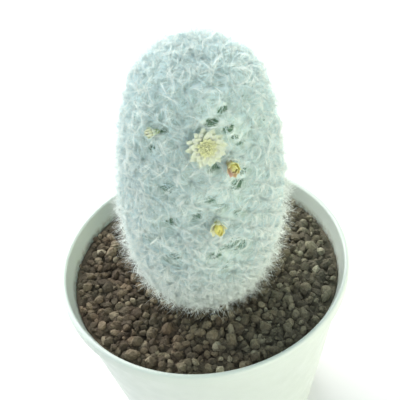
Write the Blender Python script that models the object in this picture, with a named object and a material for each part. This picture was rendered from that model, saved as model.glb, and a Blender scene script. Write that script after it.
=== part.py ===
"""A powder puff cactus in a round plastic pot, as solids at real size.

Metres, +Z up. The origin is the middle of the pot's flat foot. -Y is the side with the flowers.
"""

import math
import random

import bmesh
import bpy
from mathutils import Matrix, Vector
from mathutils.geometry import delaunay_2d_cdt, intersect_line_line

GAP = 0.0003  # between pieces that touch

# Pot
POT_HEIGHT = 0.085
RIM_RADIUS = 0.055
LIP_WALL = 0.002
LIP_STEPS = 6
COLLAR_HEIGHT = 0.0045
COLLAR_STAND = 0.0009
WALL = 0.0017
FOOT_RADIUS = 0.039
FOOT_CHAMFER = 0.0012
WALL_DRAFT_AT_COLLAR = 0.0009
COLLAR_SLOPE = 0.0003
FLOOR = 0.0022
FLOOR_FILLET = 0.0015
POT_SIDES = 64
DRAIN_COUNT = 5
DRAIN_RADIUS = 0.004
DRAIN_RING = 0.024
DRAIN_SIDES = 16

# Soil
SOIL_LEVEL = POT_HEIGHT - 0.008
GRAIN_SPACING = 0.0062
GRAIN_RISE = 0.0012
GRAIN_ROUGHNESS = 0.0006
GRAIN_TOP = 0.3  # radius of a grain's top, as a share of the spacing
GRAIN_JITTER = 0.16  # of the spacing

# Plant, measured along its own axis from the soil
STEM_FOOT = Vector((-0.0011, -0.0036, SOIL_LEVEL))
LEAN_RIGHT = math.radians(4.5)
LEAN_FRONT = math.radians(1.5)
PLANT_HEIGHT = 0.103
COAT_RADIUS = 0.0301
COAT_FOOT_RADIUS = 0.0155
WIDEST = 0.38 * PLANT_HEIGHT
CROWN_POWER = 2.3
CROWN_FULLNESS = 3.2
NECK_RADIUS = 0.0132
ROOT_RADIUS = 0.0112
ROOT_DEPTH = 0.012
NECK_SIDES = 28
NECK_INTO_STEM = 0.006

# Tubercles and spines
TUBERCLES = 300
TUBERCLE_DEPTH = 0.0024
GOLDEN_ANGLE = math.pi * (3.0 - math.sqrt(5.0))
SPIRAL_START = math.radians(310.8)  # puts a facet at each flower's place
COAT_STAND = 0.0027  # the spines' tips over the tubercles' tips
PROFILE_STEPS = 160
FOOT_STEPS = 20
AXIS_CLEARANCE = 0.0002  # keeps the outline's ends off the axis
SPINE_LENGTH = 0.0074
SPINE_LENGTH_SPREAD = 0.0007
SPINE_TILT = math.radians(57)
SPINE_TILT_SPREAD = math.radians(7)
SPINE_TWIST_SPREAD = math.radians(14)
SPINE_ROOT = 0.15  # a spine's root, as a share of the facet it grows from
SPINE_ROOT_PLACE = 0.5  # from the tubercle's tip to its edge
SPINE_SHORTEST = 0.0025
SPINE_THICKNESS = 0.0009  # at the root; a spine tapers to a point
SPINE_TRIES = 12
SPINE_PHASE = math.radians(20)
SOIL_CLEARANCE = 0.0007

# Flowers: place on the plant, height along its axis and angle round it
OPEN_FLOWER_PLACE = (0.084, math.radians(-90))
HALF_OPEN_PLACE = (0.077, math.radians(-72))
YELLOW_BUD_PLACE = (0.0564, math.radians(-84))
PALE_BUD_PLACE = (0.0858, math.radians(-132))
TUBE_RADIUS = 0.001
TUBE_SIDES = 10
CUP_SINK = 0.0014  # how far a flower's cup lies under the coat's outside
PETAL_THICKNESS = 0.00065
PETAL_SPREAD = 0.08
PETAL_RISE_SPREAD = 4  # degrees
# Each layer: petals, length, width, rise at the root and at the tip in degrees
OPEN_LAYERS = [(11, 0.0049, 0.0021, 6, 2), (10, 0.0043, 0.002, 24, 12), (8, 0.0032, 0.0016, 48, 34)]
HALF_OPEN_LAYERS = [(6, 0.0036, 0.0019, 62, 74), (5, 0.0034, 0.0015, 76, 90)]
OPEN_CUP_RADIUS = 0.0019
HALF_OPEN_CUP_RADIUS = 0.0014
OPEN_FLOWER_CLEARANCE = 0.0078
HALF_OPEN_CLEARANCE = 0.0036
BUD_CLEARANCE = 0.0032
CUP_WALL = 0.0006
PETAL_ROOT_SINK = 0.0004
PETAL_ROOT_STEP = 0.00007  # each layer in from the last
PETAL_ROOT_SPREAD = 0.00005
CENTRE_RADIUS = 0.0011
CENTRE_THICKNESS = 0.0006
STAMENS = 10
STAMEN_RING = 0.00062
STAMEN_LENGTH = 0.0016
STAMEN_LEAN = math.radians(17)
STAMEN_ROOT_RADIUS = 0.00016
STAMEN_TIP_RADIUS = 0.00024
STAMEN_LIFT = 0.0002
STIGMA_LONGER = 1.35
BUD_CUP = 0.75  # of a flower's cup level
BUD_SWELL = [(0.75, 0.0), (1.0, 0.3), (0.94, 0.55), (0.66, 0.8), (0.2, 1.0)]
BUD_RIDGES = 0.17
BUD_TWIST = math.radians(9)
YELLOW_BUD_SIZE = (0.0037, 0.005)
PALE_BUD_SIZE = (0.0032, 0.0038)

# Colours, roughness and metallic value
LOOKS = {
    "white_plastic": ((0.80, 0.84, 0.82), 0.45),
    "gravel": ((0.075, 0.060, 0.048), 0.95),
    "woolly_green": ((0.50, 0.60, 0.54), 0.85),
    "cream_petal": ((0.78, 0.76, 0.52), 0.60),
    "stamen_yellow": ((0.72, 0.66, 0.18), 0.70),
    "orange_petal": ((0.85, 0.50, 0.14), 0.60),
    "bud_yellow": ((0.80, 0.68, 0.14), 0.60),
    "pale_bud_yellow": ((0.76, 0.74, 0.38), 0.60),
}


def clear_scene():
    for obj in list(bpy.data.objects):
        bpy.data.objects.remove(obj, do_unlink=True)


def material(name):
    colour, roughness = LOOKS[name]
    made = bpy.data.materials.new(name)
    made.use_nodes = True
    shader = made.node_tree.nodes["Principled BSDF"]
    shader.inputs["Base Color"].default_value = (*colour, 1.0)
    shader.inputs["Roughness"].default_value = roughness
    shader.inputs["Metallic"].default_value = 0.0
    return made


def mesh_object(name, bm, look=None):
    """Turn a bmesh into a linked object with outward faces."""
    bmesh.ops.recalc_face_normals(bm, faces=bm.faces)
    mesh = bpy.data.meshes.new(name)
    bm.to_mesh(mesh)
    bm.free()
    obj = bpy.data.objects.new(name, mesh)
    bpy.context.scene.collection.objects.link(obj)
    if look:
        mesh.materials.append(material(look))
    return obj


def shade_round(obj, angle):
    obj.data.shade_smooth()
    obj.data.set_sharp_from_angle(angle=angle)


def lathe(profile, sides):
    """Spin (radius, height) points, from the axis round to the axis again, about Z."""
    bm = bmesh.new()
    verts = [bm.verts.new((radius, 0.0, height)) for radius, height in profile]
    edges = [bm.edges.new(pair) for pair in zip(verts, verts[1:])]
    bmesh.ops.spin(
        bm, geom=verts + edges, cent=(0, 0, 0), axis=(0, 0, 1),
        angle=math.tau, steps=sides, use_merge=True,
    )
    bmesh.ops.remove_doubles(bm, verts=bm.verts, dist=1e-6)
    return bm


def cutter(name, bm):
    obj = mesh_object(name, bm)
    obj.hide_render = True
    obj.display_type = "WIRE"
    return obj


def cut(obj, tool):
    modifier = obj.modifiers.new("cut " + tool.name, "BOOLEAN")
    modifier.operation = "DIFFERENCE"
    modifier.solver = "EXACT"
    modifier.object = tool


def apply_modifiers(obj):
    bpy.context.view_layer.update()
    evaluated = obj.evaluated_get(bpy.context.evaluated_depsgraph_get())
    mesh = bpy.data.meshes.new_from_object(evaluated)
    obj.modifiers.clear()
    obj.data = mesh


def fuse(obj, parts):
    """Join parts to obj as one solid, with one Boolean union on a collection."""
    group = bpy.data.collections.new(obj.name + " parts")
    bpy.context.scene.collection.children.link(group)
    for part in parts:
        bpy.context.scene.collection.objects.unlink(part)
        group.objects.link(part)
    union = obj.modifiers.new("union", "BOOLEAN")
    union.operation = "UNION"
    union.solver = "EXACT"
    union.operand_type = "COLLECTION"
    union.collection = group
    apply_modifiers(obj)
    for part in parts:
        bpy.data.objects.remove(part, do_unlink=True)
    bpy.data.collections.remove(group)


# Pot


def inner_wall_radius(height):
    """The pot's inner radius at a height over its floor."""
    top = RIM_RADIUS - COLLAR_STAND - WALL
    bottom = FOOT_RADIUS - WALL
    share = (height - FLOOR) / (POT_HEIGHT - FLOOR)
    return bottom + (top - bottom) * share


def make_pot():
    under_collar = POT_HEIGHT - COLLAR_HEIGHT
    wall_outside = RIM_RADIUS - COLLAR_STAND
    lip = LIP_WALL / 2
    crest = RIM_RADIUS - lip
    outside = [
        (0, 0),
        (FOOT_RADIUS - FOOT_CHAMFER, 0),
        (FOOT_RADIUS, FOOT_CHAMFER),
        (wall_outside - WALL_DRAFT_AT_COLLAR, under_collar),
        (RIM_RADIUS - COLLAR_SLOPE, under_collar + COLLAR_SLOPE),
    ]
    rounded = [
        (crest + lip * math.cos(turn), POT_HEIGHT - lip + lip * math.sin(turn))
        for turn in (math.pi * step / LIP_STEPS for step in range(LIP_STEPS + 1))
    ]
    inside = [
        (inner_wall_radius(under_collar), under_collar),
        (inner_wall_radius(FLOOR + FLOOR_FILLET), FLOOR + FLOOR_FILLET),
        (inner_wall_radius(FLOOR) - FLOOR_FILLET, FLOOR),
        (0, FLOOR),
    ]
    pot = mesh_object("pot", lathe(outside + rounded + inside, POT_SIDES), "white_plastic")
    for index in range(DRAIN_COUNT):
        turn = math.tau * (index + 0.5) / DRAIN_COUNT
        bm = bmesh.new()
        place = Matrix.Translation((DRAIN_RING * math.cos(turn), DRAIN_RING * math.sin(turn), 0))
        bmesh.ops.create_cone(
            bm, cap_ends=True, segments=DRAIN_SIDES, radius1=DRAIN_RADIUS, radius2=DRAIN_RADIUS,
            depth=4 * FLOOR, matrix=place,
        )
        cut(pot, cutter("drain cutter", bm))
    shade_round(pot, math.radians(35))


# Plant axis and outline


def plant_matrix():
    """The plant's own frame: origin where its axis meets the soil, Z along its axis."""
    axis = Vector((math.sin(LEAN_RIGHT), -math.sin(LEAN_FRONT), 1.0)).normalized()
    side = Vector((0, 1, 0)).cross(axis).normalized()
    turn = Matrix((side, axis.cross(side), axis)).transposed()
    return Matrix.Translation(STEM_FOOT) @ turn.to_4x4()


def root_profile(clearance):
    """The stem's foot in the soil, or the hole that it stands in, as (radius, height)."""
    return [
        (0, -ROOT_DEPTH - clearance),
        (ROOT_RADIUS + clearance, -ROOT_DEPTH - clearance),
        (NECK_RADIUS + clearance, 0),
        (NECK_RADIUS + clearance, NECK_INTO_STEM),
        (0, NECK_INTO_STEM),
    ]


def outline_points():
    """The coat's outline from crown to underside, as (radius, height, normal out, normal up)."""
    points = []
    for step in range(PROFILE_STEPS + 1):
        turn = 0.5 * math.pi * (1 - step / PROFILE_STEPS)
        across = max(math.cos(turn), 0.0) ** (2 / CROWN_FULLNESS)
        up = math.sin(turn) ** (2 / CROWN_POWER)
        points.append((COAT_RADIUS * across, WIDEST + (PLANT_HEIGHT - WIDEST) * up))
    flare = COAT_RADIUS - COAT_FOOT_RADIUS
    for step in range(1, PROFILE_STEPS + 1):
        turn = 0.5 * math.pi * step / PROFILE_STEPS
        points.append((COAT_FOOT_RADIUS + flare * math.cos(turn), WIDEST * (1 - math.sin(turn))))
    points.extend((COAT_FOOT_RADIUS * (1 - step / FOOT_STEPS), 0.0) for step in range(1, FOOT_STEPS))
    outline = []
    for index, (radius, height) in enumerate(points):
        before = points[max(index - 1, 0)]
        after = points[min(index + 1, len(points) - 1)]
        along = Vector((after[0] - before[0], after[1] - before[1])).normalized()
        outline.append((radius, height, -along.y, along.x))
    return outline


def tubercle_outline():
    """The outline through the tubercles' tips: the coat's, moved in along its normal."""
    return [
        (max(radius - COAT_STAND * out, AXIS_CLEARANCE), height - COAT_STAND * up, out, up)
        for radius, height, out, up in outline_points()
    ]


def spiral_of_areoles():
    """Seats in one golden-angle spiral, each with an equal share of the surface.

    Returns each seat's position, normal, azimuth and its point on a unit sphere, on a map that
    keeps angles, so that the sphere's convex hull finds the neighbours.
    """
    outline = tubercle_outline()
    areas = [0.0]
    latitudes = [0.0]
    for (r0, h0, _, _), (r1, h1, _, _) in zip(outline, outline[1:]):
        length = math.hypot(r1 - r0, h1 - h0)
        areas.append(areas[-1] + length * (r0 + r1) / 2)
        latitudes.append(latitudes[-1] - length * 2 / (r0 + r1))
    middle = latitudes[len(latitudes) // 3]
    seats = []
    at = 0
    for index in range(TUBERCLES):
        target = areas[-1] * (index + 0.5) / TUBERCLES
        while areas[at + 1] < target:
            at += 1
        share = (target - areas[at]) / (areas[at + 1] - areas[at])
        radius, height, out, up = (a + (b - a) * share for a, b in zip(outline[at], outline[at + 1]))
        latitude = latitudes[at] + (latitudes[at + 1] - latitudes[at]) * share - middle
        azimuth = SPIRAL_START + index * GOLDEN_ANGLE
        around = Vector((math.cos(azimuth), math.sin(azimuth), 0))
        normal = (around * out + Vector((0, 0, up))).normalized()
        on_sphere = around / math.cosh(latitude) + Vector((0, 0, math.tanh(latitude)))
        seats.append((around * radius + Vector((0, 0, height)), normal, azimuth, on_sphere))
    return seats


def facets_between(seats):
    """Pair each seat with each neighbour.

    Returns the low points between three seats, and one facet for each ordered pair of
    neighbours: (seat, neighbour, low point on its right, low point on its left).
    """
    hull = bmesh.new()
    for seat in seats:
        hull.verts.new(seat[3])
    hull.verts.index_update()
    bmesh.ops.convex_hull(hull, input=hull.verts)
    hull.faces.index_update()
    lows = []
    left_of = {}
    for face in hull.faces:
        corners = [vert.index for vert in face.verts]
        if face.normal.dot(face.calc_center_median()) < 0:
            corners.reverse()
        middle = sum((seats[i][0] for i in corners), Vector()) / 3
        normal = sum((seats[i][1] for i in corners), Vector()).normalized()
        lows.append(middle - normal * TUBERCLE_DEPTH)
        for here, there in zip(corners, corners[1:] + corners[:1]):
            left_of[here, there] = len(lows) - 1
    hull.free()
    facets = [(here, there, left_of[there, here], low) for (here, there), low in sorted(left_of.items())]
    return lows, facets


# Flowers


def find_seat(place, seats, lows, facets):
    """The tubercle facet nearest to a place given by height and angle, and where it faces."""
    height, azimuth = place

    def centre_of(facet):
        here, _, right, left = facet
        return (seats[here][0] + lows[right] + lows[left]) / 3

    def miss(index):
        centre = centre_of(facets[index])
        turn = math.remainder(math.atan2(centre.y, centre.x) - azimuth, math.tau)
        return math.hypot(centre.z - height, turn * math.hypot(centre.x, centre.y))

    nearest = min(range(len(facets)), key=miss)
    here, _, right, left = facets[nearest]
    facing = (lows[right] - seats[here][0]).cross(lows[left] - seats[here][0]).normalized()
    centre = centre_of(facets[nearest])
    return {"facet": nearest, "centre": centre, "facing": facing, "outward": seats[here][1]}


def seat_matrix(seat):
    """A flower's frame: origin on its facet, Z outward."""
    z = seat["outward"]
    x = Vector((0, 0, 1)).cross(z).normalized()
    turn = Matrix((x, z.cross(x), z)).transposed()
    return plant_matrix() @ Matrix.Translation(seat["centre"]) @ turn.to_4x4()


def cup_level():
    """Height of a flower's cup over its facet: a little under the coat's outside."""
    return COAT_STAND + TUBERCLE_DEPTH * 2 / 3 - CUP_SINK


def tube_on_facet(seat, rings, sides, scallop=0.0, twist=0.0):
    """A closed turned body of (radius, height) rings whose foot lies on the facet."""
    facing = seat_matrix(seat).to_3x3().inverted() @ plant_matrix().to_3x3() @ seat["facing"]
    bm = bmesh.new()
    loops = []
    for number, (radius, level) in enumerate(rings):
        loop = []
        for side in range(sides):
            turn = math.tau * side / sides + twist * number
            ridge = 1 + scallop * (side % 2) if number else 1
            x = radius * ridge * math.cos(turn)
            y = radius * ridge * math.sin(turn)
            z = level if number else (GAP - facing.x * x - facing.y * y) / facing.z
            loop.append(bm.verts.new((x, y, z)))
        loops.append(loop)
    for low, high in zip(loops, loops[1:]):
        for side in range(sides):
            after = (side + 1) % sides
            bm.faces.new((low[side], low[after], high[after], high[side]))
    bm.faces.new(reversed(loops[0]))
    bm.faces.new(loops[-1])
    bmesh.ops.triangulate(bm, faces=bm.faces)
    return bm


def petal(length, width, root_radius, root_level, root_rise, tip_rise, turn):
    """One pointed blade, three rows of corners from root to tip."""
    bm = bmesh.new()
    half = PETAL_THICKNESS / 2
    x, z = root_radius, root_level
    rows = []
    for share, width_share, step in ((0.0, 0.34, 0.0), (0.55, 0.5, 0.55), (1.0, 0.07, 0.45)):
        rise = math.radians(root_rise + (tip_rise - root_rise) * share)
        x += length * step * math.cos(rise)
        z += length * step * math.sin(rise)
        off_x, off_z = -half * math.sin(rise), half * math.cos(rise)
        side = width * width_share
        corners = ((1, side), (-1, side), (-1, -side), (1, -side))
        rows.append([bm.verts.new((x + face * off_x, y, z + face * off_z)) for face, y in corners])
    for low, high in zip(rows, rows[1:]):
        for side in range(4):
            after = (side + 1) % 4
            bm.faces.new((low[side], low[after], high[after], high[side]))
    bm.faces.new(reversed(rows[0]))
    bm.faces.new(rows[-1])
    bmesh.ops.triangulate(bm, faces=bm.faces)
    bmesh.ops.rotate(bm, verts=bm.verts, cent=(0, 0, 0), matrix=Matrix.Rotation(turn, 3, "Z"))
    return bm


def make_flower(name, seat, cup_radius, layers, look):
    """A tube on its facet, a cup at the coat's outside, and petals in layers round it."""
    level = cup_level()
    rings = [(TUBE_RADIUS, 0), (TUBE_RADIUS * 1.15, level * 0.55), (cup_radius, level)]
    rings.append((cup_radius, level + CUP_WALL))
    flower = mesh_object(name, tube_on_facet(seat, rings, TUBE_SIDES), look)
    rng = random.Random(3)
    petals = []
    for row, (count, length, width, root_rise, tip_rise) in enumerate(layers):
        for index in range(count):
            turn = math.tau * (index + 0.5 * row + PETAL_SPREAD * rng.uniform(-1, 1)) / count
            longer = 1 + PETAL_SPREAD * rng.uniform(-1, 1)
            rise = PETAL_RISE_SPREAD * rng.uniform(-1, 1)
            root = cup_radius - PETAL_ROOT_SINK - row * PETAL_ROOT_STEP
            level_here = level + CUP_WALL / 2 + PETAL_ROOT_SPREAD * rng.uniform(-1, 1)
            bm = petal(length * longer, width, root, level_here, root_rise + rise, tip_rise + rise, turn)
            petals.append(mesh_object("petal", bm))
    fuse(flower, petals)
    flower.matrix_world = seat_matrix(seat)


def make_flower_centre(name, seat, look):
    """A low disc of stamens round one stigma, standing in the open flower's cup."""
    floor = cup_level() + CUP_WALL + GAP
    bm = bmesh.new()
    bmesh.ops.create_cone(
        bm, cap_ends=True, segments=TUBE_SIDES, radius1=CENTRE_RADIUS, radius2=CENTRE_RADIUS * 0.8,
        depth=CENTRE_THICKNESS, matrix=Matrix.Translation((0, 0, floor + CENTRE_THICKNESS / 2)),
    )
    centre = mesh_object(name, bm, look)
    parts = []
    for index in range(STAMENS + 1):
        middle = index == STAMENS
        lean = 0 if middle else STAMEN_LEAN
        out = 0 if middle else STAMEN_RING
        length = STAMEN_LENGTH * (STIGMA_LONGER if middle else 1)
        turn = Matrix.Rotation(math.tau * index / STAMENS, 4, "Z") @ Matrix.Translation((out, 0, floor))
        bm = bmesh.new()
        lift = Matrix.Translation((0, 0, length / 2 + STAMEN_LIFT))
        bmesh.ops.create_cone(
            bm, cap_ends=True, segments=4, radius1=STAMEN_ROOT_RADIUS, radius2=STAMEN_TIP_RADIUS,
            depth=length, matrix=turn @ Matrix.Rotation(lean, 4, "Y") @ lift,
        )
        parts.append(mesh_object("stamen", bm))
    fuse(centre, parts)
    centre.matrix_world = seat_matrix(seat)


def make_bud(name, seat, size, look):
    """A closed bud: petals rolled round each other, as ridges that twist to the tip."""
    width, length = size
    level = cup_level() * BUD_CUP
    rings = [(TUBE_RADIUS * 0.9, 0), (TUBE_RADIUS, level * 0.7)]
    rings += [(width / 2 * share, level + length * along) for share, along in BUD_SWELL]
    bm = tube_on_facet(seat, rings, TUBE_SIDES, scallop=-BUD_RIDGES, twist=BUD_TWIST)
    bud = mesh_object(name, bm, look)
    bud.matrix_world = seat_matrix(seat)


# Cactus


def spines_touch(first, second):
    """Whether two tapered spines, each a (root, tip) pair, come too near each other."""
    nearest = intersect_line_line(*first, *second)
    if nearest is None:
        return False
    width = 0.0
    points = []
    for (root, tip), point in zip((first, second), nearest):
        way = tip - root
        share = min(max((point - root).dot(way) / way.length_squared, 0.0), 1.0)
        points.append(root + way * share)
        width += SPINE_THICKNESS * (1 - share) / 2
    return (points[0] - points[1]).length < width + GAP / 2


def meets_flower(root, tip, keep_clear):
    for seat, clearance in keep_clear:
        for share in (0.0, 0.35, 0.7, 1.0):
            offset = root.lerp(tip, share) - seat["centre"]
            along = offset.dot(seat["outward"])
            if along > -clearance and (offset - seat["outward"] * along).length < clearance:
                return True
    return False


def spine_tip(root, outward, sideways, rng, grown, keep_clear):
    """Where a spine from root ends, or None if it would have no room after a few tries."""
    across = outward.cross(sideways)
    place = plant_matrix()
    near = [spine for spine in grown if (spine[0] - root).length < 2 * SPINE_LENGTH]
    room = (place @ root).z - (SOIL_LEVEL + GRAIN_RISE + GRAIN_ROUGHNESS + SOIL_CLEARANCE)
    for _ in range(SPINE_TRIES):
        twist = rng.uniform(-1, 1) * SPINE_TWIST_SPREAD
        tilt = SPINE_TILT + rng.uniform(-1, 1) * SPINE_TILT_SPREAD
        length = SPINE_LENGTH + rng.uniform(-1, 1) * SPINE_LENGTH_SPREAD
        flat = sideways * math.cos(twist) + across * math.sin(twist)
        way = outward * math.cos(tilt) + flat * math.sin(tilt)
        drop = -(place.to_3x3() @ way).z
        if drop > 0 and length * drop > room:
            length = room / drop
        tip = root + way * length
        if length < SPINE_SHORTEST or meets_flower(root, tip, keep_clear):
            continue
        if not any(spines_touch((root, tip), other) for other in near):
            return tip
    return None


def make_cactus(seats, lows, facets, bloom_seats):
    """Tubercles as low pyramids, each with spines raised from its facets, and the root's foot."""
    rng = random.Random(11)
    grown = []
    blocked = {seat["facet"] for seat, _ in bloom_seats}
    bm = bmesh.new()
    tips = [bm.verts.new(seat[0]) for seat in seats]
    valleys = [bm.verts.new(low) for low in lows]
    for index, (here, _, right, left) in enumerate(facets):
        corners = [tips[here], valleys[right], valleys[left]]
        outward, azimuth = seats[here][1], seats[here][2]
        middle = (lows[right] + lows[left]) / 2 - seats[here][0]
        sideways = (middle - outward * middle.dot(outward)).normalized()
        round_way = Vector((-math.sin(azimuth), math.cos(azimuth), 0))
        bearing = math.atan2(sideways.dot(outward.cross(round_way)), sideways.dot(round_way))
        has_spine = math.cos(3 * (bearing - SPINE_PHASE)) > 0 and index not in blocked
        root = corners[0].co.lerp((corners[1].co + corners[2].co) / 2, SPINE_ROOT_PLACE)
        tip = spine_tip(root, outward, sideways, rng, grown, bloom_seats) if has_spine else None
        if tip is None:
            bm.faces.new(corners)
            continue
        grown.append((root, tip))
        base = [bm.verts.new(root.lerp(corner.co, SPINE_ROOT)) for corner in corners]
        point = bm.verts.new(tip)
        for side in range(3):
            after = (side + 1) % 3
            bm.faces.new((corners[side], corners[after], base[after], base[side]))
            bm.faces.new((base[side], base[after], point))
    bmesh.ops.triangulate(bm, faces=[face for face in bm.faces if len(face.verts) > 3])
    cactus = mesh_object("cactus", bm, "woolly_green")
    fuse(cactus, [mesh_object("root", lathe(root_profile(0.0), NECK_SIDES))])
    cactus.matrix_world = plant_matrix()


# Soil


def make_soil():
    """Gravel that fills the pot: each grain has three top corners, with low points between."""
    rng = random.Random(5)
    edge = inner_wall_radius(SOIL_LEVEL) - GAP
    points = []
    heights = []
    for index in range(POT_SIDES):
        turn = math.tau * index / POT_SIDES
        points.append(Vector((edge * math.cos(turn), edge * math.sin(turn))))
        heights.append(0.0)
    row_step = GRAIN_SPACING * math.sqrt(3) / 2
    rows = int(edge / row_step) + 1
    for row in range(-rows, rows + 1):
        for column in range(-rows - 1, rows + 2):
            jitter = Vector((rng.uniform(-1, 1), rng.uniform(-1, 1))) * GRAIN_SPACING * GRAIN_JITTER
            centre = Vector(((column + 0.5 * (row % 2)) * GRAIN_SPACING, row * row_step)) + jitter
            first = rng.uniform(0, math.tau)
            rise = rng.uniform(-1, 1)
            for corner in range(3):
                turn = first + math.tau * corner / 3
                top = Vector((math.cos(turn), math.sin(turn))) * GRAIN_SPACING * GRAIN_TOP
                points.append(centre + top)
                heights.append(GRAIN_RISE + GRAIN_ROUGHNESS * (0.6 * rise + 0.4 * rng.uniform(-1, 1)))
            for low in ((0.5, row_step / GRAIN_SPACING / 3), (0.0, 2 * row_step / GRAIN_SPACING / 3)):
                points.append(centre - jitter + Vector(low) * GRAIN_SPACING)
                heights.append(-GRAIN_ROUGHNESS * rng.uniform(0.2, 1))
    kept = [
        index for index, point in enumerate(points)
        if index < POT_SIDES or point.length < edge - GRAIN_SPACING * GRAIN_TOP
    ]
    rim_edges = [(index, (index + 1) % POT_SIDES) for index in range(POT_SIDES)]
    flat = delaunay_2d_cdt([points[index] for index in kept], rim_edges, [], 1, 1e-6)
    bm = bmesh.new()
    top = []
    for place, sources in zip(flat[0], flat[3]):
        height = heights[kept[sources[0]]] if sources else 0.0
        top.append(bm.verts.new((place.x, place.y, SOIL_LEVEL + height)))
    for face in flat[2]:
        bm.faces.new([top[index] for index in face])
    border = [edge_ for edge_ in bm.edges if edge_.is_boundary]
    floor_level = FLOOR + GAP
    for level in (floor_level + FLOOR_FILLET, floor_level):
        ring = bmesh.ops.extrude_edge_only(bm, edges=border)["geom"]
        border = [item for item in ring if isinstance(item, bmesh.types.BMEdge) and item.is_boundary]
        inset = FLOOR_FILLET if level == floor_level else 0.0
        radius = inner_wall_radius(level) - GAP - inset
        for vert in {vert for item in border for vert in item.verts}:
            flat_place = Vector((vert.co.x, vert.co.y)).normalized() * radius
            vert.co = (flat_place.x, flat_place.y, level)
    bmesh.ops.contextual_create(bm, geom=border)
    bmesh.ops.triangulate(bm, faces=bm.faces)
    soil = mesh_object("soil", bm, "gravel")
    hole = cutter("stem hole cutter", lathe(root_profile(GAP), NECK_SIDES))
    hole.matrix_world = plant_matrix()
    cut(soil, hole)


def main():
    clear_scene()
    seats = spiral_of_areoles()
    lows, facets = facets_between(seats)
    places = (OPEN_FLOWER_PLACE, HALF_OPEN_PLACE, YELLOW_BUD_PLACE, PALE_BUD_PLACE)
    open_seat, half_seat, yellow_seat, pale_seat = (find_seat(place, seats, lows, facets) for place in places)
    bloom_seats = [
        (open_seat, OPEN_FLOWER_CLEARANCE),
        (half_seat, HALF_OPEN_CLEARANCE),
        (yellow_seat, BUD_CLEARANCE),
        (pale_seat, BUD_CLEARANCE),
    ]
    make_pot()
    make_soil()
    make_cactus(seats, lows, facets, bloom_seats)
    make_flower("open_flower", open_seat, OPEN_CUP_RADIUS, OPEN_LAYERS, "cream_petal")
    make_flower_centre("open_flower_centre", open_seat, "stamen_yellow")
    make_flower("half_open_flower", half_seat, HALF_OPEN_CUP_RADIUS, HALF_OPEN_LAYERS, "orange_petal")
    make_bud("yellow_bud", yellow_seat, YELLOW_BUD_SIZE, "bud_yellow")
    make_bud("pale_bud", pale_seat, PALE_BUD_SIZE, "pale_bud_yellow")


main()
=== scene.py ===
# A powder puff cactus in its plastic pot: wool, skin, flowers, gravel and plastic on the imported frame.
import math

import bmesh
import bpy
import numpy as np
from mathutils import Matrix, Quaternion, Vector, noise


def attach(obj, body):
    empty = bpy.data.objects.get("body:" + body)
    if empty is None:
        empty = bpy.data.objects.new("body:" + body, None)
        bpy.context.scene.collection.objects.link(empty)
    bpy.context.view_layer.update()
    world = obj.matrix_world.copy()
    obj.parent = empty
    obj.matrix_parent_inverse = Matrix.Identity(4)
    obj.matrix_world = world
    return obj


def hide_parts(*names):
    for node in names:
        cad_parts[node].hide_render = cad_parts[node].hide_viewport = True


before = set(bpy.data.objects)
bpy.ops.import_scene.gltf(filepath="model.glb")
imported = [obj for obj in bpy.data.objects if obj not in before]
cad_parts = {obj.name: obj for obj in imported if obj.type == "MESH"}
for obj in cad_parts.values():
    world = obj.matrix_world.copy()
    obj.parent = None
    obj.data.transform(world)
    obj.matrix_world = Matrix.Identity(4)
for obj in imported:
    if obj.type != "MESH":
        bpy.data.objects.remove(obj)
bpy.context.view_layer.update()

goldenAngle = math.pi * (3 - math.sqrt(5))


# Small helpers


def meshFrom(name, bm, smooth=True):
    mesh = bpy.data.meshes.new(name)
    bm.to_mesh(mesh)
    bm.free()
    if smooth:
        mesh.shade_smooth()
    return mesh


def addPiece(mesh, material, slot, *nodes):
    # each piece is at the origin, with its place in its mesh, and stands for the nodes named
    piece = bpy.data.objects.new(mesh.name, mesh)
    bpy.context.scene.collection.objects.link(piece)
    mesh.materials.clear()
    mesh.materials.append(material)
    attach(piece, "root")
    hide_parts(*nodes)
    mesh.calc_loop_triangles()
    print(f"{piece.name}: {len(mesh.loop_triangles)} triangles")


def unit(vectors):
    return vectors / np.linalg.norm(vectors, axis=-1, keepdims=True)


def positionsOf(mesh):
    co = np.empty(len(mesh.vertices) * 3, np.float32)
    mesh.vertices.foreach_get("co", co)
    return co.reshape(-1, 3).astype(float)


# Shader groups that more than one material uses


def newGroup(name, inputs, outputs):
    group = bpy.data.node_groups.new(name, "ShaderNodeTree")
    for label, kind, value in inputs:
        socket = group.interface.new_socket(label, in_out="INPUT", socket_type="NodeSocket" + kind)
        socket.default_value = value
    for label, kind in outputs:
        group.interface.new_socket(label, in_out="OUTPUT", socket_type="NodeSocket" + kind)
    return group, group.nodes.new("NodeGroupInput"), group.nodes.new("NodeGroupOutput")


def feed(tree, value, socket):
    # the value is another node's socket, or a plain one
    if isinstance(value, bpy.types.NodeSocket):
        tree.links.new(value, socket)
    else:
        socket.default_value = value


def mixNode(tree, factor, first, second, blend="MIX"):
    mix = tree.nodes.new("ShaderNodeMix")
    mix.data_type = "RGBA"
    mix.blend_type = blend
    for index, value in ((0, factor), (6, first), (7, second)):
        feed(tree, value, mix.inputs[index])
    return mix.outputs[2]


def rampNode(tree, factor, stops):
    # stops are (place, colour) pairs, lowest first
    ramp = tree.nodes.new("ShaderNodeValToRGB")
    while len(ramp.color_ramp.elements) < len(stops):
        ramp.color_ramp.elements.new(0.5)
    for element, (place, colour) in zip(ramp.color_ramp.elements, stops):
        element.position, element.color = place, (*colour, 1)
    tree.links.new(factor, ramp.inputs[0])
    return ramp.outputs[0]


def mathNode(tree, operation, *values):
    node = tree.nodes.new("ShaderNodeMath")
    node.operation = operation
    for socket, value in zip(node.inputs, values):
        feed(tree, value, socket)
    return node.outputs[0]


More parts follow.
